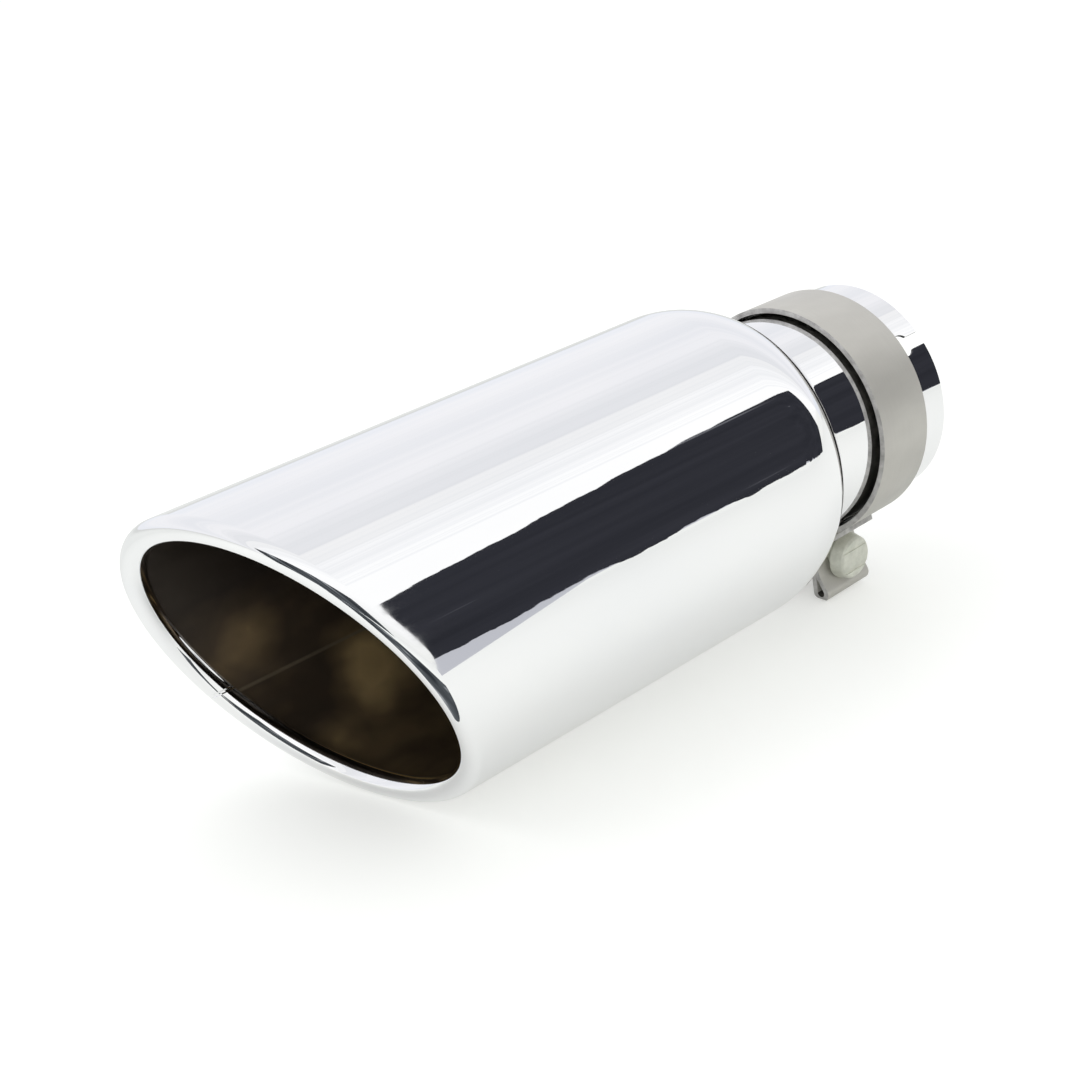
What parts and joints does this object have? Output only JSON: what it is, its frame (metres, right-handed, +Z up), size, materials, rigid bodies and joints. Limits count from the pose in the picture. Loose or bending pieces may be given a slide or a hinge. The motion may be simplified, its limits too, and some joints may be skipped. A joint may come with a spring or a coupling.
{
  "type": "clamp-on exhaust tip",
  "caption": "Round polished exhaust tip with a slant-cut rolled mouth, a domed shoulder and a slotted inlet neck that a flat band clamp with folded lugs and a bolt squeezes onto a tailpipe",
  "frame": {"origin": "centre of the inlet end of the neck, on the pipe axis, where the tailpipe goes in", "axes": "+Y runs along the pipe axis out of the inlet, towards the tailpipe; the mouth faces -Y; +Z is up, away from the clamp's lugs; +X is across, on the side of the bolt's head"},
  "size_m": [0.127, 0.3115, 0.1421],
  "materials": {
    "polished_shell": "mirror-polished stainless steel, the shell and its rolled edge",
    "polished_neck": "mirror-polished stainless steel, the inlet neck",
    "weld": "dull heat-tinted weld inside the shell",
    "satin_band": "satin rolled stainless strip, warm grey",
    "block_steel": "dull grey pressed steel, the reaction block",
    "zinc_fastener": "dull greenish-grey zinc plate on the bolt, seat and nut"
  },
  "bodies": {
    "root": {"outer_shell": "polished_shell", "inlet_neck": "polished_neck", "neck_weld": "weld", "clamp_band": "satin_band", "bridge_plate": "satin_band", "reaction_block": "block_steel", "clamp_bolt": "zinc_fastener", "seat_washer": "zinc_fastener", "clamp_nut": "zinc_fastener"}
  },
  "joints": []
}
